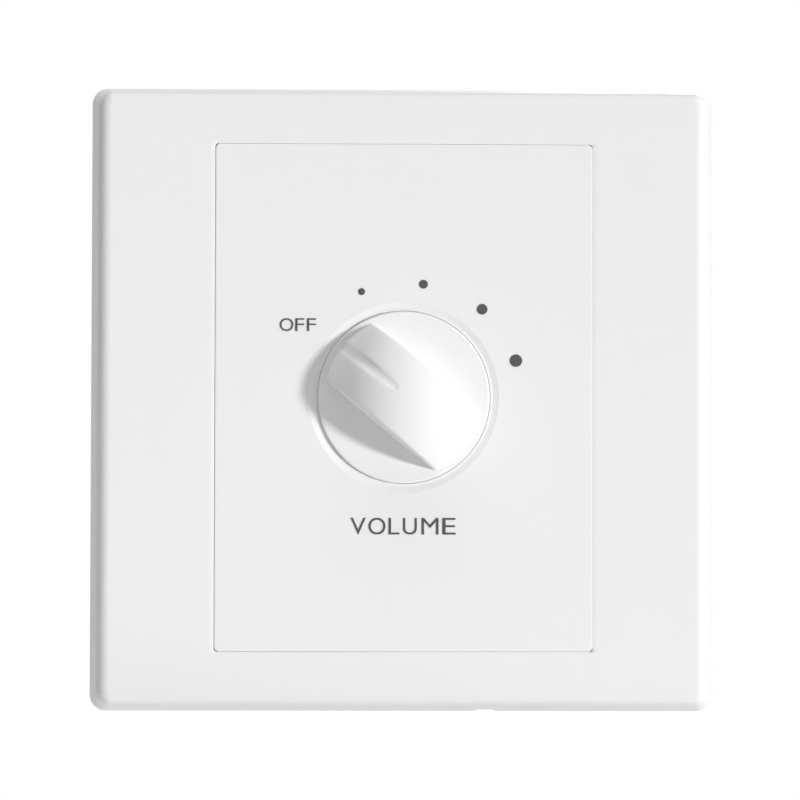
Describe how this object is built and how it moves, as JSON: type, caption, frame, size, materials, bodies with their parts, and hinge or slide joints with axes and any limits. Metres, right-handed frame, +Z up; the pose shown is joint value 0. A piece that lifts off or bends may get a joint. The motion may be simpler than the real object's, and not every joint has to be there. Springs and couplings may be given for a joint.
{
  "type": "speaker volume control",
  "caption": "Square white wall plate with an insert panel and a stepped turn knob; behind it a rotary switch, circuit board, tapped transformer and screw terminals set a speaker's level.",
  "frame": {"origin": "middle between the two wall-box screw slots, on the wall plane", "axes": "+X to the right as the user sees the plate, +Z up, +Y into the wall; the face looks along -Y"},
  "size_m": [0.086, 0.059, 0.086],
  "materials": {
    "white_plastic": "satin white moulded plastic",
    "grey_ink": "flat dark grey print",
    "base_plastic": "matt off-white moulded plastic",
    "plated_steel": "bright zinc plating",
    "spring_steel": "plain spring steel",
    "zinc_alloy": "die-cast zinc",
    "spring_bronze": "phosphor bronze sheet",
    "contact_brass": "bright brass",
    "tinned_pins": "tinned",
    "phenolic": "brown phenolic moulding",
    "nylon": "natural nylon",
    "board_laminate": "green solder mask over glass laminate",
    "core_steel": "varnished silicon steel laminations",
    "bobbin_plastic": "black moulded plastic",
    "copper_wire": "enamelled copper wire",
    "yellow_tape": "yellow polyester tape",
    "terminal_plastic": "green moulded plastic"
  },
  "bodies": {
    "wall_unit": {"cover_frame": "white_plastic", "insert_panel": "white_plastic", "level_dots": "grey_ink", "mounting_base": "base_plastic", "panel_screws": "plated_steel", "bushing_flange": "zinc_alloy", "bushing_nut": "plated_steel", "lock_washer": "plated_steel", "index_spring": "spring_bronze", "stop_pins": "plated_steel", "switch_housing": "phenolic", "contact_wafer": "phenolic", "fixed_contacts": "contact_brass", "switch_rivets": "plated_steel", "circuit_board": "board_laminate", "board_screws": "plated_steel", "core_e_stack": "core_steel", "core_i_stack": "core_steel", "coil_bobbin": "bobbin_plastic", "coil_winding": "copper_wire", "coil_tape": "yellow_tape", "transformer_strap": "plated_steel", "strap_screws": "plated_steel", "transformer_pins": "tinned_pins", "terminal_housing": "terminal_plastic", "terminal_cages": "contact_brass", "terminal_screws": "plated_steel", "terminal_pins": "tinned_pins"},
    "knob_shaft": {"knob": "white_plastic", "knob_clip": "spring_steel", "switch_shaft": "plated_steel", "shaft_clip": "spring_steel", "index_wheel": "plated_steel", "switch_rotor": "nylon", "wiper": "spring_bronze"}
  },
  "joints": [
    {"name": "knob_turn", "type": "hinge", "parent": "wall_unit", "child": "knob_shaft", "pos_m": [0, -0.0083, 0], "axis": [0, 1, 0], "range_deg": [0, 120], "deforming": ["index_spring"]}
  ]
}
